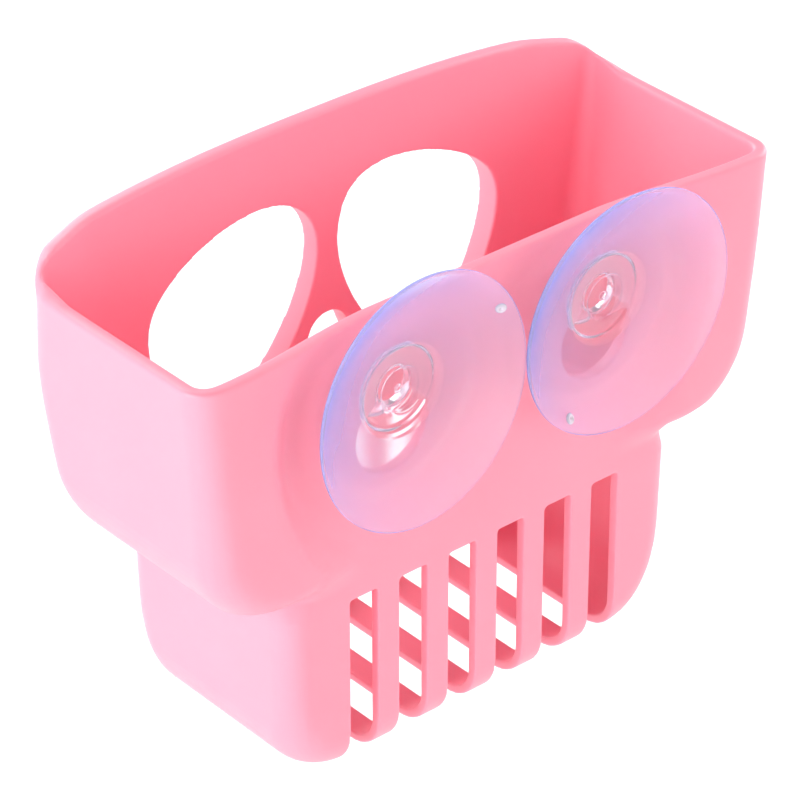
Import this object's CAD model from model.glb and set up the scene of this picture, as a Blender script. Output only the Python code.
"""Looks of the wall-mounted sink rack: a finely modelled pink moulding and two clear suction cups.

Lengths are in metres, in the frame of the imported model: the origin lies on the wall plane, midway
between the cups, +Y points into the wall and +Z up, and the rack's face looks along -Y.
"""

import logging
import math
from dataclasses import dataclass, field
from enum import Enum, IntEnum
from typing import Any, Callable

import bmesh
import bpy
from mathutils import Matrix, Vector


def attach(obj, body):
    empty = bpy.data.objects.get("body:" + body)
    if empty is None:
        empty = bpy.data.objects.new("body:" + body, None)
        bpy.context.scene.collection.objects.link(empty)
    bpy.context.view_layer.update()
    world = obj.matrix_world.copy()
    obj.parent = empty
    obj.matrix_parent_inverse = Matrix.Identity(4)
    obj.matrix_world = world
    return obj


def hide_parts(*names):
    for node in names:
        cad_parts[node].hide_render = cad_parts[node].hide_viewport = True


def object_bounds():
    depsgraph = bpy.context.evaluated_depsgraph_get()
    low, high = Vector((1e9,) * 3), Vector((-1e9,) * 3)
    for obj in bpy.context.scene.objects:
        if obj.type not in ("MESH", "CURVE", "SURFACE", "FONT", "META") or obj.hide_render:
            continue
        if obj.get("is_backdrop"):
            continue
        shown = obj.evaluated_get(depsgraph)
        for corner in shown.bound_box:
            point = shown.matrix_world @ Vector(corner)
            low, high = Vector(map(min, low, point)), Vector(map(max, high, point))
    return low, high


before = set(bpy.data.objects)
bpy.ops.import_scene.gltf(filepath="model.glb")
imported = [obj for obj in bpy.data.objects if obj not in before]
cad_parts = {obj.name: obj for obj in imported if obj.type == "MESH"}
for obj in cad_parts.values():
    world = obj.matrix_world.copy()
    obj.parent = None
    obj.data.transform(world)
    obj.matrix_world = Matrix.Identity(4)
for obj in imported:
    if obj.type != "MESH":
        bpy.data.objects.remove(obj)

log = logging.getLogger("sink_rack")

Point = tuple[float, float, float]
Place = tuple[float, float]
Colour = tuple[float, float, float]


def smooth_step(share: float) -> float:
    """Rises smoothly from 0 to 1 as share does."""
    share = min(max(share, 0.0), 1.0)
    return share * share * (3.0 - 2.0 * share)


def mix(first: float, second: float, share: float) -> float:
    """The value that lies share of the way from first to second."""
    return first + (second - first) * share


def arc_points(centre: Place, radius: float, start: float, end: float, count: int) -> list[Place]:
    """Points along an arc.

    Args:
        centre: Middle of the arc.
        radius: Its radius.
        start: Angle of the first point, in radians.
        end: Angle of the last point.
        count: How many steps the arc has.

    Returns:
        One more point than there are steps.
    """
    points = []
    for step in range(count + 1):
        angle = mix(start, end, step / count)
        points.append((centre[0] + radius * math.cos(angle), centre[1] + radius * math.sin(angle)))
    return points


class Side(Enum):
    """The two sides of the rack, as the sign of X."""

    LEFT = -1
    RIGHT = 1


class Wall(Enum):
    """The two large faces of the rack."""

    BACK = "back"
    FRONT = "front"


class CupPart(IntEnum):
    """The parts of a suction cup, in the order of its materials."""

    BELL = 0
    HUB = 1
    MARK = 2


@dataclass(frozen=True)
class Walls:
    """Thicknesses of the moulding and the rounding of its rim."""

    at_rim: float = 0.0025
    at_base: float = 0.0018
    front_extra: float = 0.0005
    floor: float = 0.0017
    rim_round: float = 0.0006
    least_radius: float = 0.0010


@dataclass(frozen=True)
class Basket:
    """One of the two drafted boxes that make up the rack's outline, seen from the front."""

    top_z: float
    base_z: float
    width_at_top: float
    width_at_base: float
    corner_radius: float
    grows_above: bool

    def half_width(self, z: float) -> float:
        """Half width at this height; only the upper box keeps growing above its top.

        Args:
            z: Height.

        Returns:
            The half width in metres.
        """
        share = (z - self.base_z) / (self.top_z - self.base_z)
        if not self.grows_above:
            share = min(share, 1.0)
        return mix(self.width_at_base, self.width_at_top, share) / 2.0


@dataclass(frozen=True)
class EdgeRadii:
    """Radii of the rounded edges round the large faces, from the rim down to the base."""

    back_rim: float = 0.0050
    back_upper: float = 0.0070
    front_rim: float = 0.0080
    front_middle: float = 0.0052
    front_upper: float = 0.0098
    front_middle_drop: float = 0.0030
    front_rim_thinning: float = 0.0036
    lower: float = 0.0050
    base: float = 0.0078
    base_height: float = 0.0190
    base_blend: float = 0.0120


@dataclass(frozen=True)
class BackRelief:
    """Proud cheeks of the back wall and the round pad behind each cup."""

    cup_offset: float = 0.0227
    cheek_rise: float = 0.0033
    cheek_start: float = 0.0264
    cheek_blend: float = 0.0176
    valley_half_width: float = 0.0237
    valley_half_height: float = 0.0286
    valley_drop: float = 0.0040
    valley_start_share: float = 0.88
    valley_blend_share: float = 0.24
    pad_rise: float = 0.0013
    pad_radius: float = 0.0193
    pad_drop: float = 0.0028
    pad_edge_share: float = 1.05
    pad_blend_share: float = 0.25
    rim_fade: float = 0.0063
    lip_height: float = 0.0050

    def at(self, x: float, z: float, rim_z: float, foot_z: float) -> float:
        """How far the back wall stands towards the room's wall.

        Args:
            x: Place across.
            z: Height.
            rim_z: Height of the level rim.
            foot_z: Height of the upper box's underside.

        Returns:
            The rise in metres.
        """
        x = abs(x)
        near_rim = smooth_step((z - rim_z + 2.0 * self.rim_fade) / (2.0 * self.rim_fade))
        at_rim = smooth_step((z - rim_z + self.rim_fade) / self.rim_fade)
        across = (x - self.cup_offset) / self.valley_half_width
        reach = math.hypot(across, (z + self.valley_drop) / self.valley_half_height)
        round_cheek = smooth_step((reach - self.valley_start_share) / self.valley_blend_share)
        round_cheek *= smooth_step((x - self.cheek_start) / self.cheek_blend)
        rim_cheek = smooth_step((x - self.cup_offset) / (2.0 * self.cheek_blend))
        lip = smooth_step((z - foot_z) / self.lip_height)
        cheek = self.cheek_rise * mix(round_cheek, rim_cheek, near_rim) * lip
        pad_reach = math.hypot(x - self.cup_offset, z + self.pad_drop) / self.pad_radius
        pad = self.pad_rise * smooth_step((self.pad_edge_share - pad_reach) / self.pad_blend_share)
        return math.hypot(cheek, pad * (1.0 - at_rim))


@dataclass(frozen=True)
class EyeHole:
    """An eye hole: a tilted egg with a slight bend."""

    offset: float = 0.0222
    drop: float = 0.0082
    half_across: float = 0.0171
    half_along: float = 0.0201
    tilt: float = math.radians(35.5)
    egg_share: float = -0.30
    bend_share: float = 0.146
    points: int = 120

    @staticmethod
    def bow(place: float) -> float:
        """A shallow bow: 0.5 at either end and -0.5 in the middle."""
        return place**2 - 0.5

    def reach(self, x: float, z: float) -> float:
        """Distance from the edge of the nearer eye hole, negative inside it.

        Args:
            x: Place across.
            z: Height.

        Returns:
            The distance in metres, as measured across the egg.
        """
        across, up = abs(x) - self.offset, z + self.drop
        along = (across * math.cos(self.tilt) + up * math.sin(self.tilt)) / self.half_across
        aside = (up * math.cos(self.tilt) - across * math.sin(self.tilt)) / self.half_along
        near = min(max(along, -1.0), 1.0)
        aside = (aside + self.bend_share * self.bow(near)) / (1.0 + self.egg_share * near)
        return (math.hypot(along, aside) - 1.0) * self.half_across

    def outline(self, side: Side) -> list[Place]:
        """The hole's outline in the front view.

        Args:
            side: Which of the two holes.

        Returns:
            Points of a closed line.
        """
        points = []
        for step in range(self.points):
            turn = 2.0 * math.pi * step / self.points
            along = self.half_across * math.cos(turn)
            swell = math.sin(turn) * (1.0 + self.egg_share * math.cos(turn))
            aside = self.half_along * (swell - self.bend_share * self.bow(math.cos(turn)))
            x = self.offset + along * math.cos(self.tilt) - aside * math.sin(self.tilt)
            z = along * math.sin(self.tilt) + aside * math.cos(self.tilt) - self.drop
            points.append((side.value * x, z))
        return points


@dataclass(frozen=True)
class NoseHole:
    """The nose hole: a rounded triangle of one upper and two lower arcs."""

    top_drop: float = 0.0192
    top_radius: float = 0.0044
    base_drop: float = 0.0246
    lobe_offset: float = 0.0036
    lobe_radius: float = 0.0031
    arc_steps: int = 24

    def reach(self, x: float, z: float) -> float:
        """Distance from the edge of the nose hole, negative inside it.

        Args:
            x: Place across.
            z: Height.

        Returns:
            The distance in metres.
        """
        top = math.hypot(x, z + self.top_drop) - self.top_radius
        lobe = math.hypot(abs(x) - self.lobe_offset, z + self.base_drop) - self.lobe_radius
        return min(top, lobe)

    def outline(self) -> list[Place]:
        """The hole's outline in the front view.

        Returns:
            Points of a closed line.
        """
        drop = self.top_drop - self.base_drop
        normal = math.atan2(drop, self.lobe_offset)
        normal += math.acos((self.top_radius - self.lobe_radius) / math.hypot(self.lobe_offset, drop))
        far, low = math.pi - normal, 1.5 * math.pi
        top = arc_points((0.0, -self.top_drop), self.top_radius, normal, far, self.arc_steps)
        left_lobe = (-self.lobe_offset, -self.base_drop)
        right_lobe = (self.lobe_offset, -self.base_drop)
        left = arc_points(left_lobe, self.lobe_radius, far, low, self.arc_steps)
        right = arc_points(right_lobe, self.lobe_radius, low, 2.0 * math.pi + normal, self.arc_steps)
        return top + left + right


@dataclass(frozen=True)
class Keyhole:
    """A keyhole: a round entry below and a slot for the cup's neck above."""

    entry_radius: float = 0.0077
    slot_radius: float = 0.0039
    travel: float = 0.0089
    arc_steps: int = 64

    def outline(self, centre_x: float) -> list[Place]:
        """The hole's outline in the front view.

        Args:
            centre_x: Where the cup stands across.

        Returns:
            Points of a closed line.
        """
        opening = math.asin(self.slot_radius / self.entry_radius)
        top = arc_points((centre_x, 0.0), self.slot_radius, 0.0, math.pi, self.arc_steps // 2)
        start, end = math.pi / 2.0 + opening, 2.5 * math.pi - opening
        centre = (centre_x, -self.travel)
        return top + arc_points(centre, self.entry_radius, start, end, self.arc_steps)


@dataclass(frozen=True)
class DrainSlots:
    """The row of slots through back wall, floor and front wall."""

    count: int = 6
    pitch: float = 0.0110
    width: float = 0.0062
    top_drop: float = 0.0402
    corner_radius: float = 0.0008
    corner_steps: int = 6

    def centres(self) -> list[float]:
        """The slots' places across."""
        return [(i - (self.count - 1) / 2.0) * self.pitch for i in range(self.count)]

    def outline(self, centre_x: float, below_z: float) -> list[Place]:
        """Outline of one slot, open below.

        Args:
            centre_x: The slot's place across.
            below_z: A height under the rack's floor.

        Returns:
            Points of a closed line.
        """
        half, radius = self.width / 2.0, self.corner_radius
        arc_z = -self.top_drop - radius
        right_arc = (centre_x + half - radius, arc_z)
        left_arc = (centre_x - half + radius, arc_z)
        right = arc_points(right_arc, radius, 0.0, math.pi / 2.0, self.corner_steps)
        left = arc_points(left_arc, radius, math.pi / 2.0, math.pi, self.corner_steps)
        return right + left + [(centre_x - half, below_z), (centre_x + half, below_z)]


@dataclass(frozen=True)
class FrontRelief:
    """Leaning forehead of the front wall and the ridges round its holes."""

    lean: float = 0.0030
    half_width: float = 0.0460
    side_blend: float = 0.0150
    ridge_rise: float = 0.0019
    ridge_width: float = 0.0030
    ridge_blend: float = 0.0060
    bridge_drop: float = 0.0008
    bridge_half_width: float = 0.0110

    def forehead(self, x: float, z: float, crown_z: float) -> float:
        """How far the wall leans out above the eyes.

        Args:
            x: Place across.
            z: Height.
            crown_z: Height of the dome's top.

        Returns:
            The lean in metres.
        """
        side = smooth_step((abs(x) - self.half_width) / self.side_blend)
        return self.lean * smooth_step(z / crown_z) * (1.0 - side)

    def ridge(self, x: float, reach: float) -> float:
        """How far the face is raised at this distance from a hole's edge.

        Args:
            x: Place across.
            reach: Distance from the nearest hole's edge.

        Returns:
            The rise in metres.
        """
        bridge = 1.0 - smooth_step(abs(x) / self.bridge_half_width)
        rise = self.ridge_rise - self.bridge_drop * bridge
        return rise * (1.0 - smooth_step((reach - self.ridge_width) / self.ridge_blend))


@dataclass(frozen=True)
class Dome:
    """The front wall's arched rim; the rim is level round the back and the sides."""

    rise: float = 0.0091
    shoulder_drop: float = 0.0042
    shoulder_reach: float = 0.0573
    corner_drop: float = 0.0041
    power_share: float = 2.6
    corner_power_share: float = 1.5
    blend_depth: float = 0.0100
    blend_drop: float = 0.0040

    def height(self, x: float, forward: float, half_width: float) -> float:
        """How far the rim stands above its level part.

        Args:
            x: Place across.
            forward: 0 away from the front wall, 1 on it.
            half_width: Half width of the rack at the rim.

        Returns:
            The rise in metres.
        """
        x = abs(x)
        reach = self.shoulder_reach
        corner = min(max((x - reach) / (half_width - reach), 0.0), 1.0)
        arch = self.rise - self.shoulder_drop * (x / reach) ** self.power_share
        arch -= self.corner_drop * corner**self.corner_power_share
        return max(arch, 0.0) * forward


@dataclass(frozen=True)
class Fineness:
    """How many faces the moulding is drawn with before its surface is evened out."""

    middle_columns: int = 32
    cheek_columns: int = 16
    edge_columns: int = 12
    side_columns: int = 6
    dome_rows: int = 12
    wall_rows: int = 48
    arc_rows: int = 16
    straight_rows: int = 8
    voxel: float = 0.00030
    calm_passes: int = 6
    most_faces: int = 190_000

    @property
    def last_column(self) -> int:
        """Number of the column that lies on the side."""
        return self.middle_columns + self.cheek_columns + self.edge_columns

    @property
    def ring_places(self) -> int:
        """Points in one level ring."""
        return 2 * (2 * self.last_column + 1) + 2 * (self.side_columns - 1)


@dataclass
class Moulding:
    """The one-piece pink rack with its eye holes, nose hole, keyholes and slots."""

    rim_z: float = 0.0139
    back_y: float = -0.0102
    depth: float = 0.0449
    cut_overrun: float = 0.0040
    middle_zone_share: float = 0.9
    weld_distance: float = 0.000003
    walls: Walls = field(default_factory=Walls)
    upper: Basket = field(default_factory=lambda: Basket(0.0139, -0.0372, 0.1270, 0.1196, 0.0165, True))
    lower: Basket = field(default_factory=lambda: Basket(-0.0372, -0.0758, 0.0884, 0.0858, 0.0126, False))
    edges: EdgeRadii = field(default_factory=EdgeRadii)
    back: BackRelief = field(default_factory=BackRelief)
    front: FrontRelief = field(default_factory=FrontRelief)
    dome: Dome = field(default_factory=Dome)
    eye: EyeHole = field(default_factory=EyeHole)
    nose: NoseHole = field(default_factory=NoseHole)
    keyhole: Keyhole = field(default_factory=Keyhole)
    slots: DrainSlots = field(default_factory=DrainSlots)
    fineness: Fineness = field(default_factory=Fineness)
    crown_shares: tuple[Place, ...] = (
        (0.03, 0.35), (0.12, 0.8), (0.3, 1.0), (0.7, 1.0), (0.88, 0.8), (0.97, 0.35),
    )

    @property
    def front_y(self) -> float:
        """Where the plain front face lies."""
        return self.back_y - self.depth

    @property
    def crown_z(self) -> float:
        """Height of the dome's top."""
        return self.rim_z + self.dome.rise

    def wall_at(self, z: float) -> float:
        """Wall thickness, which tapers downward as a moulded wall does."""
        share = (z - self.lower.base_z) / (self.rim_z - self.lower.base_z)
        return mix(self.walls.at_base, self.walls.at_rim, min(max(share, 0.0), 1.0))

    def lower_edge(self, z: float) -> float:
        """Radius of the lower box's upright edges, which swells into the rounded base."""
        share = (self.lower.base_z + self.edges.base_height - z) / self.edges.base_blend
        return mix(self.edges.lower, self.edges.base, smooth_step(share))

    def back_edge(self, z: float) -> float:
        """Radius of the edges round the back face at this height.

        Args:
            z: Height.

        Returns:
            The radius in metres.
        """
        if z < self.upper.base_z:
            return self.lower_edge(z)
        share = smooth_step((z - self.upper.base_z) / -self.upper.base_z)
        return mix(self.edges.back_upper, self.edges.back_rim, share)

    def front_edge(self, z: float) -> float:
        """Radius of the edges round the front face at this height.

        Args:
            z: Height.

        Returns:
            The radius in metres.
        """
        drop = self.edges.front_middle_drop
        if z < self.upper.base_z:
            return self.lower_edge(z)
        if z < -drop:
            share = smooth_step((z - self.upper.base_z) / (-self.upper.base_z - drop))
            return mix(self.edges.front_upper, self.edges.front_middle, share)
        share = smooth_step((z + drop) / (self.rim_z + drop))
        return mix(self.edges.front_middle, self.edges.front_rim, share)

    def rim_height(self, x: float, y: float) -> float:
        """Height of the rim over a point of the plan.

        Args:
            x: Place across.
            y: Place along the depth.

        Returns:
            The rim's height above the line through the cups.
        """
        start = self.front_y + self.walls.at_rim + self.dome.blend_depth
        forward = smooth_step((start - y) / self.dome.blend_depth)
        return self.rim_z + self.dome.height(x, forward, self.upper.width_at_top / 2.0)

    def level_heights(self, skin: "Skin") -> list[float]:
        """Heights of a skin's level rings, from below the dome down to the base.

        Args:
            skin: The outer or the inner surface.

        Returns:
            The heights, from the top down.
        """
        fine = self.fineness
        arc_top = skin.upper_base + skin.upper_radius
        dome_foot = self.rim_z - self.dome.blend_drop
        heights = [mix(dome_foot, arc_top, i / fine.wall_rows) for i in range(fine.wall_rows)]
        for i in range(fine.arc_rows):
            heights.append(arc_top - skin.upper_radius * math.sin(math.pi / 2.0 * i / fine.arc_rows))
        low_arc_top = skin.lower_base + skin.lower_radius
        for i in range(fine.straight_rows):
            heights.append(mix(skin.upper_base, low_arc_top, i / fine.straight_rows))
        for i in range(fine.arc_rows + 1):
            heights.append(low_arc_top - skin.lower_radius * math.sin(math.pi / 2.0 * i / fine.arc_rows))
        return heights

    def dome_rings(self, skin: "Skin") -> list[list[Point]]:
        """A skin's rings from the domed rim down to the first level ring.

        Args:
            skin: The outer or the inner surface.

        Returns:
            The rings, each a list of points.
        """
        places, rows = range(self.fineness.ring_places), self.fineness.dome_rows
        foot = self.rim_z - self.dome.blend_drop
        tops = [self.rim_height(*skin.ring_point(self.rim_z, place)) for place in places]
        rings = []
        for row in range(rows):
            ring = []
            for place, top in zip(places, tops):
                z = mix(top - self.walls.rim_round, foot, row / rows)
                ring.append((*skin.ring_point(z, place), z))
            rings.append(ring)
        return rings

    def crown_rings(self, outer: list[Point], inner: list[Point]) -> list[list[Point]]:
        """Rings of the rounded rim between the outer skin's first ring and the inner one's.

        Args:
            outer: First ring of the outer skin.
            inner: First ring of the inner skin.

        Returns:
            Rings from the outer side to the inner one.
        """
        rings = []
        for across, up in self.crown_shares:
            ring = []
            for near, far in zip(outer, inner):
                x, y, z = (mix(here, there, across) for here, there in zip(near, far))
                ring.append((x, y, z + self.walls.rim_round * up))
            rings.append(ring)
        return rings

    def shell(self) -> bpy.types.Mesh:
        """The moulding before its holes are cut: two skins joined at the rim.

        Returns:
            A closed mesh of triangles.
        """
        outer, inner = Skin(self, False), Skin(self, True)
        outer_rings, inner_rings = self.dome_rings(outer), self.dome_rings(inner)
        crown = self.crown_rings(outer_rings[0], inner_rings[0])
        rings = [inner.ring(z) for z in reversed(self.level_heights(inner))]
        rings += list(reversed(inner_rings)) + list(reversed(crown)) + outer_rings
        rings += [outer.ring(z) for z in self.level_heights(outer)]
        mesh = bmesh.new()
        rows = [[mesh.verts.new(point) for point in ring] for ring in rings]
        for upper, lower in zip(rows, rows[1:]):
            for i, corner in enumerate(upper):
                j = (i + 1) % len(upper)
                mesh.faces.new((corner, lower[i], lower[j], upper[j]))
        mesh.faces.new(rows[0])
        mesh.faces.new(list(reversed(rows[-1])))
        bmesh.ops.recalc_face_normals(mesh, faces=mesh.faces)
        bmesh.ops.triangulate(mesh, faces=mesh.faces)
        data = bpy.data.meshes.new("rack_shell")
        mesh.to_mesh(data)
        mesh.free()
        return data

    def cutters(self) -> bpy.types.Mesh:
        """All the holes' solids in one mesh; none of them touches another.

        Returns:
            Closed prisms that reach past the walls they cut.
        """
        middle_y = self.back_y - self.depth / 2.0
        front_far = self.front_y - self.front.lean - self.front.ridge_rise - self.cut_overrun
        back_far = self.back_y + self.back.cheek_rise + self.cut_overrun
        below_z = self.lower.base_z - self.cut_overrun
        mesh = bmesh.new()
        for side in Side:
            self.add_prism(mesh, self.eye.outline(side), middle_y, front_far)
            keyhole = self.keyhole.outline(side.value * self.back.cup_offset)
            self.add_prism(mesh, keyhole, back_far, middle_y)
        self.add_prism(mesh, self.nose.outline(), middle_y, front_far)
        for centre_x in self.slots.centres():
            self.add_prism(mesh, self.slots.outline(centre_x, below_z), back_far, front_far)
        bmesh.ops.remove_doubles(mesh, verts=mesh.verts, dist=self.weld_distance)
        bmesh.ops.recalc_face_normals(mesh, faces=mesh.faces)
        data = bpy.data.meshes.new("rack_cutters")
        mesh.to_mesh(data)
        mesh.free()
        return data

    @staticmethod
    def add_prism(mesh: bmesh.types.BMesh, outline: list[Place], near_y: float, far_y: float) -> None:
        """Adds a solid whose front view is the outline.

        Args:
            mesh: The mesh that gets it.
            outline: Points of a closed line, as X and Z.
            near_y: Where one end lies.
            far_y: Where the other end lies.
        """
        near = [mesh.verts.new((x, near_y, z)) for x, z in outline]
        far = [mesh.verts.new((x, far_y, z)) for x, z in outline]
        for i, corner in enumerate(near):
            j = (i + 1) % len(near)
            mesh.faces.new((corner, near[j], far[j], far[i]))
        mesh.faces.new(list(reversed(near)))
        mesh.faces.new(far)

    def build(self, finish: "SatinPlastic") -> bpy.types.Object:
        """Models the rack and dresses it.

        Args:
            finish: The plastic that it is moulded from.

        Returns:
            The finished piece, riding on its body.
        """
        cutter = bpy.data.objects.new("rack_cutter", self.cutters())
        sharp = bpy.data.objects.new("sharp_rack", self.shell())
        bpy.context.scene.collection.objects.link(cutter)
        bpy.context.scene.collection.objects.link(sharp)
        holes = sharp.modifiers.new("holes", "BOOLEAN")
        holes.operation = "DIFFERENCE"
        holes.solver = "EXACT"
        holes.object = cutter
        eased = bpy.data.objects.new("eased_rack", finished_mesh(sharp, "cut_rack"))
        bpy.context.scene.collection.objects.link(eased)
        even = eased.modifiers.new("even skin", "REMESH")
        even.mode = "VOXEL"
        even.voxel_size = self.fineness.voxel
        snap = eased.modifiers.new("snap to the cut", "SHRINKWRAP")
        snap.target = sharp
        calm = eased.modifiers.new("eased edges", "SMOOTH")
        calm.iterations = self.fineness.calm_passes
        thin_out(eased, self.fineness.most_faces)
        data = finished_mesh(eased, "pink_rack")
        for thing in (eased, sharp, cutter):
            bpy.data.objects.remove(thing, do_unlink=True)
        data.shade_smooth()
        data.materials.clear()
        data.materials.append(finish.make())
        rack = bpy.data.objects.new("pink_rack", data)
        bpy.context.scene.collection.objects.link(rack)
        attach(rack, "rack")
        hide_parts("rack_body")
        return rack


class Skin:
    """One surface of the moulding's wall: the outer one, or the inner one inset from it."""

    def __init__(self, rack: Moulding, inner: bool) -> None:
        """Sets the skin up.

        Args:
            rack: The moulding that it belongs to.
            inner: Whether it is the inner surface.
        """
        self.rack = rack
        self.inner = inner
        upper_inset = rack.wall_at(rack.upper.base_z) if inner else 0.0
        lower_inset = rack.wall_at(rack.lower.base_z) if inner else 0.0
        self.upper_base = rack.upper.base_z + upper_inset
        self.lower_base = rack.lower.base_z + (rack.walls.floor if inner else 0.0)
        self.upper_radius = rack.upper.corner_radius - upper_inset
        self.lower_radius = rack.lower.corner_radius - lower_inset
        self.places_at: dict[float, list[float]] = {}

    def inset(self, z: float) -> float:
        """How far this surface lies inside the outer one."""
        return self.rack.wall_at(z) if self.inner else 0.0

    def upper_side(self, z: float) -> float:
        """Half width of the upper box's surface."""
        return self.rack.upper.half_width(z) - self.inset(z)

    def lower_side(self, z: float) -> float:
        """Half width of the lower box's surface."""
        return self.rack.lower.half_width(z) - self.inset(z)

    def rounding(self, z: float, wall: Wall) -> float:
        """Radius of this surface's edges at the back or the front.

        Args:
            z: Height.
            wall: Which of the two large faces.

        Returns:
            The radius; the inner corner at the front rim is sharper than the wall makes it.
        """
        rack = self.rack
        if wall is Wall.BACK:
            return max(rack.back_edge(z) - self.inset(z), rack.walls.least_radius)
        thinning = 0.0
        if self.inner:
            drop = rack.edges.front_middle_drop
            share = smooth_step((z + drop) / (rack.rim_z + drop))
            thinning = self.inset(z) + rack.edges.front_rim_thinning * share
        return max(rack.front_edge(z) - thinning, rack.walls.least_radius)

    def half_width(self, z: float) -> float:
        """Half width of the front outline at this height.

        Args:
            z: Height.

        Returns:
            The half width in metres.
        """
        if z >= self.upper_base:
            drop = max(self.upper_base + self.upper_radius - z, 0.0)
            under = self.upper_radius - math.sqrt(max(self.upper_radius**2 - drop**2, 0.0))
            return max(self.upper_side(z) - under, self.lower_side(z))
        drop = max(self.lower_base + self.lower_radius - z, 0.0)
        under = self.lower_radius - math.sqrt(max(self.lower_radius**2 - drop**2, 0.0))
        return self.lower_side(z) - under

    @staticmethod
    def depth_inside(x: float, z: float, side: float, base: float, radius: float) -> float:
        """How far a point of the front view lies inside one box's outline.

        Args:
            x: Place across.
            z: Height.
            side: Half width of the box at this height.
            base: Height of its underside.
            radius: Radius of its lower corners.

        Returns:
            The depth, negative outside.
        """
        across = abs(x) - side + radius
        down = base + radius - z
        if across > 0.0 and down > 0.0:
            return radius - math.hypot(across, down)
        return radius - max(across, down)

    def inside(self, x: float, z: float) -> float:
        """How far a point of the front view lies inside the whole outline.

        Args:
            x: Place across.
            z: Height.

        Returns:
            The depth, negative outside.
        """
        lower = self.depth_inside(x, z, self.lower_side(z), self.lower_base, self.lower_radius)
        if z < self.upper_base:
            return lower
        upper = self.depth_inside(x, z, self.upper_side(z), self.upper_base, self.upper_radius)
        return max(upper, lower)

    def recede(self, x: float, z: float, radius: float) -> float:
        """How far a face draws back where it rounds over into a side."""
        left = radius - min(max(self.inside(x, z), 0.0), radius)
        return radius - math.sqrt(max(radius**2 - left**2, 0.0))

    def face_y(self, x: float, z: float, wall: Wall) -> float:
        """Where a large face lies at a point of the front view.

        Args:
            x: Place across.
            z: Height.
            wall: Which of the two large faces.

        Returns:
            The place along Y.
        """
        rack = self.rack
        edge = self.recede(x, z, self.rounding(z, wall))
        if wall is Wall.BACK:
            relief = rack.back.at(x, z, rack.rim_z, rack.upper.base_z)
            return rack.back_y + relief - self.inset(z) - edge
        relief = rack.front.forehead(x, z, rack.crown_z)
        if self.inner:
            relief -= self.inset(z) + rack.walls.front_extra
        else:
            relief += rack.front.ridge(x, min(rack.eye.reach(x, z), rack.nose.reach(x, z)))
        return rack.front_y - relief + edge

    def face_places(self, z: float) -> list[float]:
        """Places across a face, from the middle out to the side, at this height.

        Args:
            z: Height.

        Returns:
            The X of each column.
        """
        if z not in self.places_at:
            rack, fine = self.rack, self.rack.fineness
            width = self.half_width(z)
            radius = min(max(rack.edges.front_rim, rack.edges.front_upper), width / 2.0)
            flat = width - radius
            middle = min(rack.lower.width_at_base / 2.0 - rack.edges.base, flat * rack.middle_zone_share)
            places = [middle * i / fine.middle_columns for i in range(fine.middle_columns)]
            places += [mix(middle, flat, i / fine.cheek_columns) for i in range(fine.cheek_columns)]
            for i in range(fine.edge_columns + 1):
                places.append(flat + radius * math.sin(math.pi / 2.0 * i / fine.edge_columns))
            self.places_at[z] = places
        return self.places_at[z]

    def face_point(self, z: float, column: int, wall: Wall) -> Place:
        """A point of a large face, as X and Y; columns run from -X to +X with 0 in the middle."""
        x = math.copysign(self.face_places(z)[abs(column)], column)
        return x, self.face_y(x, z, wall)

    def ring_point(self, z: float, place: int) -> Place:
        """A point of one level: across the back, down the -X side, across the front and back.

        Args:
            z: Height of the level.
            place: Number of the point.

        Returns:
            The point's X and Y.
        """
        last, sides = self.rack.fineness.last_column, self.rack.fineness.side_columns
        across = 2 * last + 1
        if place < across:
            return self.face_point(z, last - place, Wall.BACK)
        place -= across
        sign, start_wall, end_wall = -1, Wall.BACK, Wall.FRONT
        if place >= sides - 1:
            place -= sides - 1
            if place < across:
                return self.face_point(z, place - last, Wall.FRONT)
            place -= across
            sign, start_wall, end_wall = 1, Wall.FRONT, Wall.BACK
        start = self.face_point(z, sign * last, start_wall)
        end = self.face_point(z, sign * last, end_wall)
        return start[0], mix(start[1], end[1], (place + 1) / sides)

    def ring(self, z: float) -> list[Point]:
        """All the points of one level."""
        return [(*self.ring_point(z, place), z) for place in range(self.rack.fineness.ring_places)]


def finished_mesh(rough: bpy.types.Object, name: str) -> bpy.types.Mesh:
    """The mesh of an object with its modifiers applied.

    Args:
        rough: The object, in the scene.
        name: What the new mesh is called.

    Returns:
        A mesh of its own.
    """
    bpy.context.view_layer.update()
    graph = bpy.context.evaluated_depsgraph_get()
    data = bpy.data.meshes.new_from_object(rough.evaluated_get(graph))
    data.name = name
    return data


def thin_out(rough: bpy.types.Object, most_faces: int) -> None:
    """Adds a modifier that keeps an object under a number of triangles.

    Args:
        rough: The object, with its other modifiers in place.
        most_faces: The most triangles it may have.
    """
    data = finished_mesh(rough, "count")
    data.calc_loop_triangles()
    triangles = len(data.loop_triangles)
    bpy.data.meshes.remove(data)
    if triangles > most_faces:
        fewer = rough.modifiers.new("fewer faces", "DECIMATE")
        fewer.ratio = most_faces / triangles


@dataclass(frozen=True)
class Lean:
    """How far a soft bell stands out of true on its hub."""

    back: float = 0.0
    aside: float = 0.0
    shift: Place = (0.0, 0.0)


@dataclass(frozen=True)
class GateMark:
    """The small round ring that the mould's gate leaves beside a bell's rim."""

    angle: float = 0.0
    reach: float = 0.0205
    radius: float = 0.0010
    dimple_radius: float = 0.0002
    rise: float = 0.0003
    sink: float = 0.0002
    steps: int = 24
    crest_steps: int = 8

    def section(self) -> list[Place]:
        """Its half section from its middle out and back, as radius and depth.

        Returns:
            Points from axis to axis.
        """
        points = [(0.0, 0.0)]
        for step in range(self.crest_steps + 1):
            share = step / self.crest_steps
            radius = mix(self.dimple_radius, self.radius, share)
            points.append((radius, -self.rise * math.sin(math.pi * share)))
        return points + [(self.radius, self.sink), (0.0, self.sink)]


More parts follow.
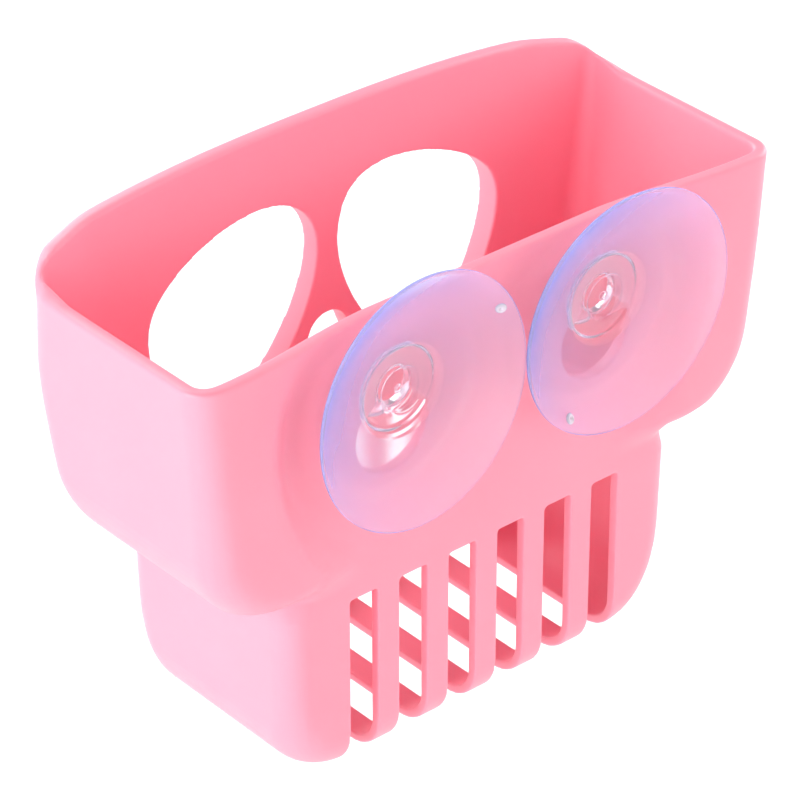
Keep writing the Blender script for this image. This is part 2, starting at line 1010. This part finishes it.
@dataclass
class SuctionCup:
    """A clear mushroom-head suction cup: a thin bell, a solid hub, a neck and a head."""

    side: Side
    centre_x: float
    lean: Lean = Lean()
    mark: GateMark = GateMark()
    radius: float = 0.0227
    land_width: float = 0.0003
    lip_thickness: float = 0.0006
    lip_round: float = 0.00028
    hub_thickness: float = 0.0012
    dish_depth: float = 0.0062
    dish_floor_radius: float = 0.0030
    dish_power_share: float = 2.1
    boss_radius: float = 0.0077
    boss_end: float = 0.0086
    boss_round: float = 0.0009
    neck_radius: float = 0.0036
    neck_end: float = 0.01159
    head_radius: float = 0.0071
    head_thickness: float = 0.0036
    head_round: float = 0.0009
    well_radius: float = 0.0043
    well_depth: float = 0.0010
    well_round: float = 0.0006
    nub_radius: float = 0.0009
    nub_rise: float = 0.0004
    stiff_radius: float = 0.0080
    slack_radius: float = 0.0180
    steps: int = 144
    bell_steps: int = 28
    round_steps: int = 5

    def dish_at(self, radius: float) -> float:
        """Depth of the hollow face at this radius.

        Args:
            radius: Distance from the cup's axis.

        Returns:
            The depth from the wall in metres.
        """
        edge = self.radius - self.land_width
        share = (radius - self.dish_floor_radius) / (edge - self.dish_floor_radius)
        share = min(max(share, 0.0), 1.0)
        return self.dish_depth * (1.0 - share**self.dish_power_share)

    def dish_slope(self, radius: float) -> float:
        """How steeply the hollow face rises towards the rim at this radius."""
        step = self.lip_round
        return (self.dish_at(radius - step) - self.dish_at(radius + step)) / (2.0 * step)

    def face_corners(self) -> list[Point]:
        """Half section of the side that meets the wall, from the axis out to the lip.

        Returns:
            Corners, each a radius, a depth and how far it is rounded.
        """
        edge = self.radius - self.land_width
        floor = self.dish_depth + self.well_depth
        corners = [(0.0, floor - self.nub_rise, 0.0)]
        corners.append((self.nub_radius - self.nub_rise, floor - self.nub_rise, self.nub_rise / 2.0))
        corners.append((self.nub_radius, floor, self.nub_rise / 2.0))
        corners.append((self.well_radius - self.well_round, floor, self.well_round))
        corners.append((self.well_radius, self.dish_at(self.well_radius), self.well_round))
        for step in range(1, self.bell_steps + 1):
            radius = mix(self.well_radius + self.well_round, edge, step / self.bell_steps)
            corners.append((radius, self.dish_at(radius), 0.0))
        corners.append((self.radius, 0.0, self.lip_round))
        return corners

    def rear_corners(self) -> list[Point]:
        """Half section of the side that meets the rack, from the lip in to the axis.

        Returns:
            Corners, each a radius, a depth and how far it is rounded.
        """
        corners = [(self.radius, self.lip_thickness, self.lip_round)]
        for step in range(1, self.bell_steps + 1):
            share = step / self.bell_steps
            radius = mix(self.radius - self.lip_thickness, self.boss_radius, share)
            thickness = mix(self.lip_thickness, self.hub_thickness, share)
            corners.append((radius, self.dish_at(radius) + thickness, 0.0))
        head_end = self.neck_end + self.head_thickness
        corners.append((self.boss_radius, self.boss_end, self.boss_round))
        corners.append((self.neck_radius, self.boss_end, self.well_round))
        corners.append((self.neck_radius, self.neck_end, self.well_round))
        corners.append((self.head_radius, self.neck_end, self.head_round))
        corners.append((self.head_radius, head_end - self.head_round, self.head_round))
        corners.append((self.head_radius - 2.0 * self.head_round, head_end, self.head_round))
        corners.append((0.0, head_end, 0.0))
        return corners

    def profile(self) -> list[Place]:
        """The half section with its corners rounded, as points of radius and depth.

        Returns:
            Points from axis to axis.
        """
        corners = self.face_corners() + self.rear_corners()
        points = [corners[0][:2]]
        for before, here, after in zip(corners, corners[1:], corners[2:]):
            points += self.rounded(Vector(before[:2]), Vector(here[:2]), Vector(after[:2]), here[2])
        points.append(corners[-1][:2])
        return points

    def rounded(self, before: Vector, here: Vector, after: Vector, reach: float) -> list[Place]:
        """Points that replace one corner.

        Args:
            before: The corner before it.
            here: The corner.
            after: The corner after it.
            reach: How far along each side the rounding starts.

        Returns:
            The corner itself, or the points of a short curve.
        """
        reach = min(reach, (before - here).length / 2.0, (after - here).length / 2.0)
        if reach <= 0.0:
            return [(here.x, here.y)]
        start = here + (before - here).normalized() * reach
        end = here + (after - here).normalized() * reach
        points = []
        for step in range(self.round_steps + 1):
            share = step / self.round_steps
            near, far = start.lerp(here, share), here.lerp(end, share)
            point = near.lerp(far, share)
            points.append((point.x, point.y))
        return points

    def placed(self, point: Vector) -> Vector:
        """Where a point of the cup lies once the bell leans.

        Args:
            point: The point round an upright axis through the origin.

        Returns:
            Its place beside the rack.
        """
        radius = math.hypot(point.x, point.z)
        slack = smooth_step((radius - self.stiff_radius) / (self.slack_radius - self.stiff_radius))
        shift = Vector((self.lean.shift[0], 0.0, self.lean.shift[1]))
        shift.y = point.x * math.sin(self.lean.aside) - point.z * math.sin(self.lean.back)
        return point + slack * shift + Vector((self.centre_x, 0.0, 0.0))

    @staticmethod
    def turn(
        mesh: bmesh.types.BMesh, points: list[Place], steps: int, place: Callable[[Vector], Vector]
    ) -> list[bmesh.types.BMFace]:
        """Adds a closed turned body.

        Args:
            mesh: The mesh that gets it.
            points: Its half section from axis to axis, as radius and depth.
            steps: Faces round the axis.
            place: Takes a point from round the axis to where it belongs.

        Returns:
            The body's faces.
        """
        rings: list[list[bmesh.types.BMVert]] = []
        for radius, depth in points:
            turns = [2.0 * math.pi * step / steps for step in range(steps if radius > 0.0 else 1)]
            ring = []
            for angle in turns:
                point = Vector((radius * math.cos(angle), -depth, radius * math.sin(angle)))
                ring.append(mesh.verts.new(place(point)))
            rings.append(ring)
        faces = []
        for first, second in zip(rings, rings[1:]):
            for step in range(steps):
                following = (step + 1) % steps
                near = [first[step % len(first)], first[following % len(first)]]
                far = [second[following % len(second)], second[step % len(second)]]
                faces.append(mesh.faces.new(list(dict.fromkeys(near + far))))
        return faces

    def turn_mark(self, mesh: bmesh.types.BMesh) -> list[bmesh.types.BMFace]:
        """Adds the gate mark on the bell's face.

        Args:
            mesh: The mesh that gets it.

        Returns:
            The mark's faces.
        """
        reach = self.mark.reach
        away = Vector((math.cos(self.mark.angle), 0.0, math.sin(self.mark.angle)))
        normal = (Vector((0.0, 1.0, 0.0)) - self.dish_slope(reach) * away).normalized()
        foot = reach * away - Vector((0.0, self.dish_at(reach), 0.0))
        lay = normal.to_track_quat("Y", "Z").to_matrix()
        section, steps = self.mark.section(), self.mark.steps
        return self.turn(mesh, section, steps, lambda point: self.placed(lay @ point + foot))

    def mesh(self) -> bpy.types.Mesh:
        """The cup's mesh, each face marked with the part of the cup that it belongs to.

        Returns:
            A closed turned body and its gate mark.
        """
        mesh = bmesh.new()
        for face in self.turn(mesh, self.profile(), self.steps, self.placed):
            middle = face.calc_center_median()
            if math.hypot(middle.x - self.centre_x, middle.z) < self.boss_radius + self.boss_round:
                face.material_index = CupPart.HUB
        for face in self.turn_mark(mesh):
            face.material_index = CupPart.MARK
        bmesh.ops.recalc_face_normals(mesh, faces=mesh.faces)
        data = bpy.data.meshes.new("clear_cup")
        mesh.to_mesh(data)
        mesh.free()
        return data

    def build(self, materials: list[bpy.types.Material]) -> bpy.types.Object:
        """Models the cup and dresses it.

        Args:
            materials: One material for each part of the cup, in CupPart's order.

        Returns:
            The finished piece, riding on its body.
        """
        name = self.side.name.lower()
        data = self.mesh()
        data.shade_smooth()
        for material in materials:
            data.materials.append(material)
        cup = bpy.data.objects.new(f"clear_cup_{name}", data)
        bpy.context.scene.collection.objects.link(cup)
        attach(cup, f"{name}_cup")
        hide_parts(f"suction_cup_{name}")
        return cup


class NodeSheet:
    """A material's node tree, with short calls to add nodes and links."""

    def __init__(self, name: str) -> None:
        """Starts an empty material.

        Args:
            name: What the material is called.
        """
        self.material = bpy.data.materials.new(name)
        self.material.use_nodes = True
        self.tree = self.material.node_tree
        self.tree.nodes.clear()

    def add(self, kind: str, inputs: dict[str, Any] | None = None, **settings: Any) -> bpy.types.Node:
        """Adds a node.

        Args:
            kind: The node's type.
            inputs: A number or colour for each socket that is the same all over.
            **settings: The node's own options.

        Returns:
            The new node.
        """
        node = self.tree.nodes.new(kind)
        for key, value in settings.items():
            setattr(node, key, value)
        for key, value in (inputs or {}).items():
            node.inputs[key].default_value = value
        return node

    def link(self, start: bpy.types.Node, output: str, end: bpy.types.Node, socket: str) -> None:
        """Joins an output to a socket."""
        self.tree.links.new(start.outputs[output], end.inputs[socket])


@dataclass(frozen=True)
class SatinPlastic:
    """Satin moulded plastic: a faint mottle in its colour and the fine grain of its mould."""

    name: str = "satin_pink_plastic"
    colour: Colour = (0.95, 0.302, 0.396)
    mottle_colour: Colour = (0.945, 0.285, 0.379)
    mottle_scale: float = 60.0
    mottle_detail: float = 3.0
    roughness: float = 0.42
    roughness_swing: float = 0.05
    grain_scale: float = 2600.0
    grain_detail: float = 2.0
    grain_depth: float = 0.00004
    grain_strength: float = 0.35
    index: float = 1.49
    glow_share: float = 0.12
    glow_radius: float = 0.0030
    glow_spread: Colour = (1.0, 0.35, 0.45)

    def make(self) -> bpy.types.Material:
        """Builds the material.

        Returns:
            A node-based material that needs no image.
        """
        sheet = NodeSheet(self.name)
        place = sheet.add("ShaderNodeTexCoord")
        cloud = sheet.add("ShaderNodeTexNoise", {"Scale": self.mottle_scale, "Detail": self.mottle_detail})
        sheet.link(place, "Object", cloud, "Vector")
        tint = sheet.add("ShaderNodeMixRGB", {
            "Color1": (*self.colour, 1.0),
            "Color2": (*self.mottle_colour, 1.0),
        })
        sheet.link(cloud, "Fac", tint, "Fac")
        gloss = sheet.add("ShaderNodeMapRange")
        gloss.inputs["To Min"].default_value = self.roughness - self.roughness_swing
        gloss.inputs["To Max"].default_value = self.roughness + self.roughness_swing
        sheet.link(cloud, "Fac", gloss, "Value")
        grain = sheet.add("ShaderNodeTexNoise", {"Scale": self.grain_scale, "Detail": self.grain_detail})
        sheet.link(place, "Object", grain, "Vector")
        bump = sheet.add("ShaderNodeBump", {"Strength": self.grain_strength, "Distance": self.grain_depth})
        sheet.link(grain, "Fac", bump, "Height")
        shader = sheet.add("ShaderNodeBsdfPrincipled", {
            "Metallic": 0.0,
            "IOR": self.index,
            "Subsurface Weight": self.glow_share,
            "Subsurface Radius": self.glow_spread,
            "Subsurface Scale": self.glow_radius,
        })
        sheet.link(tint, "Color", shader, "Base Color")
        sheet.link(gloss, "Result", shader, "Roughness")
        sheet.link(bump, "Normal", shader, "Normal")
        out = sheet.add("ShaderNodeOutputMaterial")
        sheet.link(shader, "BSDF", out, "Surface")
        return sheet.material


@dataclass(frozen=True)
class ClearVinyl:
    """Clear soft plastic with a faint blue haze that shows at a slant."""

    name: str = "hazy_blue_vinyl"
    colour: Colour = (1.0, 0.92, 0.95)
    roughness: float = 0.25
    index: float = 1.10
    clearness: float = 0.88
    haze_share: float = 1.0
    haze_colour: Colour = (0.20, 0.30, 0.82)
    haze_roughness: float = 0.56
    coat_share: float = 0.0
    coat_roughness: float = 0.08
    ripple_scale: float = 180.0
    ripple_detail: float = 2.0
    ripple_strength: float = 0.15
    ripple_depth: float = 0.0002

    def make(self) -> bpy.types.Material:
        """Builds the material.

        Returns:
            A node-based material that needs no image.
        """
        sheet = NodeSheet(self.name)
        place = sheet.add("ShaderNodeTexCoord")
        ripple = sheet.add("ShaderNodeTexNoise", {"Scale": self.ripple_scale, "Detail": self.ripple_detail})
        sheet.link(place, "Object", ripple, "Vector")
        bump = sheet.add("ShaderNodeBump", {
            "Strength": self.ripple_strength,
            "Distance": self.ripple_depth,
        })
        sheet.link(ripple, "Fac", bump, "Height")
        shader = sheet.add("ShaderNodeBsdfPrincipled", {
            "Base Color": (*self.colour, 1.0),
            "Metallic": 0.0,
            "Roughness": self.roughness,
            "IOR": self.index,
            "Transmission Weight": self.clearness,
            "Sheen Weight": self.haze_share,
            "Sheen Tint": (*self.haze_colour, 1.0),
            "Sheen Roughness": self.haze_roughness,
            "Coat Weight": self.coat_share,
            "Coat Roughness": self.coat_roughness,
        })
        sheet.link(bump, "Normal", shader, "Normal")
        out = sheet.add("ShaderNodeOutputMaterial")
        sheet.link(shader, "BSDF", out, "Surface")
        return sheet.material


@dataclass(frozen=True)
class CupFinishes:
    """The finishes of a cup's parts: a hazy bell, a clear hub and a frosted gate mark."""

    bell: ClearVinyl = ClearVinyl()
    hub: ClearVinyl = ClearVinyl(
        name="clear_vinyl",
        colour=(0.98, 0.90, 0.98),
        roughness=0.12,
        index=1.22,
        clearness=0.92,
        haze_share=1.0,
        haze_colour=(0.92, 0.84, 1.0),
        haze_roughness=0.50,
        coat_share=0.3,
    )
    mark: ClearVinyl = ClearVinyl(
        name="frosted_vinyl",
        colour=(0.97, 0.95, 0.98),
        roughness=0.25,
        index=1.20,
        clearness=0.50,
        haze_share=0.3,
        haze_colour=(0.9, 0.9, 1.0),
        coat_share=0.4,
    )

    def make(self) -> list[bpy.types.Material]:
        """Builds one material for each part, in CupPart's order."""
        return [finish.make() for finish in (self.bell, self.hub, self.mark)]


@dataclass(frozen=True)
class SoftLamp:
    """One square soft box of the studio."""

    name: str
    place: Point
    size: float
    power: float
    colour: Colour = (1.0, 1.0, 1.0)

    def build(self, target: Point) -> bpy.types.Object:
        """Hangs the lamp.

        Args:
            target: The point that it shines at.

        Returns:
            The lamp.
        """
        data = bpy.data.lights.new(self.name, "AREA")
        data.shape = "SQUARE"
        data.size = self.size
        data.energy = self.power
        data.color = self.colour
        lamp = bpy.data.objects.new(self.name, data)
        bpy.context.scene.collection.objects.link(lamp)
        away = Vector(self.place) - Vector(target)
        turn = away.to_track_quat("Z", "Y").to_matrix().to_4x4()
        lamp.matrix_world = Matrix.Translation(self.place) @ turn
        return lamp


@dataclass
class Studio:
    """Pale round floor, surroundings that are white up to the horizon, and soft lamps."""

    floor_drop: float = 0.16
    floor_radius: float = 1.0
    floor_steps: int = 96
    floor_colour: Colour = (0.80, 0.80, 0.80)
    horizon_strength: float = 1.02
    sky_strength: float = 0.10
    horizon_share: float = 0.10
    sky_share: float = 0.20
    target: Point = (0.0, -0.03, -0.03)
    lamps: tuple[SoftLamp, ...] = (
        SoftLamp("side_lamp", (1.159, -0.03, 0.281), 1.0, 17.8),
        SoftLamp("face_lamp", (0.0, -1.069, 0.570), 1.0, 17.0),
        SoftLamp("far_side_lamp", (-1.088, -0.03, 0.477), 1.0, 17.0),
        SoftLamp("wall_side_lamp", (0.0, 1.129, 0.281), 1.0, 6.6),
    )

    def build(self) -> None:
        """Sets up the surroundings, the floor and the lamps."""
        bpy.context.scene.view_settings.view_transform = "Standard"
        bpy.context.scene.world = self.surroundings()
        self.floor()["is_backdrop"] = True
        for lamp in self.lamps:
            lamp.build(self.target)

    def surroundings(self) -> bpy.types.World:
        """White surroundings that fade from the horizon up.

        Returns:
            The world.
        """
        world = bpy.data.worlds.new("white_studio")
        world.use_nodes = True
        tree = world.node_tree
        place = tree.nodes.new("ShaderNodeTexCoord")
        parts = tree.nodes.new("ShaderNodeSeparateXYZ")
        fade = tree.nodes.new("ShaderNodeMapRange")
        fade.inputs["From Min"].default_value = self.horizon_share
        fade.inputs["From Max"].default_value = self.sky_share
        fade.inputs["To Min"].default_value = self.horizon_strength
        fade.inputs["To Max"].default_value = self.sky_strength
        background = tree.nodes["Background"]
        background.inputs["Color"].default_value = (1.0, 1.0, 1.0, 1.0)
        tree.links.new(place.outputs["Generated"], parts.inputs["Vector"])
        tree.links.new(parts.outputs["Z"], fade.inputs["Value"])
        tree.links.new(fade.outputs["Result"], background.inputs["Strength"])
        return world

    def floor(self) -> bpy.types.Object:
        """The pale floor, a disc below the rack.

        Returns:
            The floor.
        """
        mesh = bmesh.new()
        bmesh.ops.create_circle(mesh, cap_ends=True, segments=self.floor_steps, radius=self.floor_radius)
        data = bpy.data.meshes.new("floor")
        mesh.to_mesh(data)
        mesh.free()
        floor = bpy.data.objects.new("floor", data)
        floor.location = (0.0, 0.0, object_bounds()[0].z - self.floor_drop)
        sheet = NodeSheet("pale_floor")
        shader = sheet.add("ShaderNodeBsdfDiffuse", {"Color": (*self.floor_colour, 1.0)})
        out = sheet.add("ShaderNodeOutputMaterial")
        sheet.link(shader, "BSDF", out, "Surface")
        data.materials.append(sheet.material)
        bpy.context.scene.collection.objects.link(floor)
        return floor


@dataclass
class PhotoCamera:
    """The camera at the photograph's viewing angle; the frame is square."""

    aim: Point = (0.01963, -0.01023, -0.00502)
    towards: Point = (0.5517, 0.6445, 0.5294)
    distance: float = 0.6717
    sensor: float = 36.0
    lens: float = 184.5
    near_clip: float = 0.01

    def build(self) -> bpy.types.Object:
        """Sets the camera up and makes it the scene's own.

        Returns:
            The camera.
        """
        data = bpy.data.cameras.new("photo_camera")
        data.sensor_width = self.sensor
        data.lens = self.lens
        data.clip_start = self.near_clip
        camera = bpy.data.objects.new("photo_camera", data)
        bpy.context.scene.collection.objects.link(camera)
        back = Vector(self.towards).normalized()
        right = Vector((0.0, 0.0, 1.0)).cross(back).normalized()
        turn = Matrix((right, back.cross(right), back)).transposed().to_4x4()
        camera.matrix_world = Matrix.Translation(Vector(self.aim) + back * self.distance) @ turn
        bpy.context.scene.camera = camera
        return camera


def cups() -> list[SuctionCup]:
    """The two cups; each bell leans its own way and is turned about its axis.

    Returns:
        The left cup and the right one.
    """
    spacing = BackRelief().cup_offset
    left_lean = Lean(back=math.radians(-1.3), aside=math.radians(-0.3), shift=(0.0005, 0.0))
    right_lean = Lean(back=math.radians(2.1), aside=math.radians(2.6), shift=(0.0001, 0.00055))
    return [
        SuctionCup(Side.LEFT, -spacing, left_lean, GateMark(angle=math.radians(304.0))),
        SuctionCup(Side.RIGHT, spacing, right_lean, GateMark(angle=math.radians(152.0))),
    ]


def main() -> None:
    """Builds the camera, the studio and every piece, and reports each."""
    logging.basicConfig(level=logging.INFO, format="%(message)s")
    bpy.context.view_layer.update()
    PhotoCamera().build()
    Studio().build()
    rack = Moulding().build(SatinPlastic())
    log.info("%s: %d faces", rack.name, len(rack.data.polygons))
    clear_plastics = CupFinishes().make()
    for cup in cups():
        piece = cup.build(clear_plastics)
        log.info("%s: %d faces", piece.name, len(piece.data.polygons))


if __name__ == "__main__":
    main()
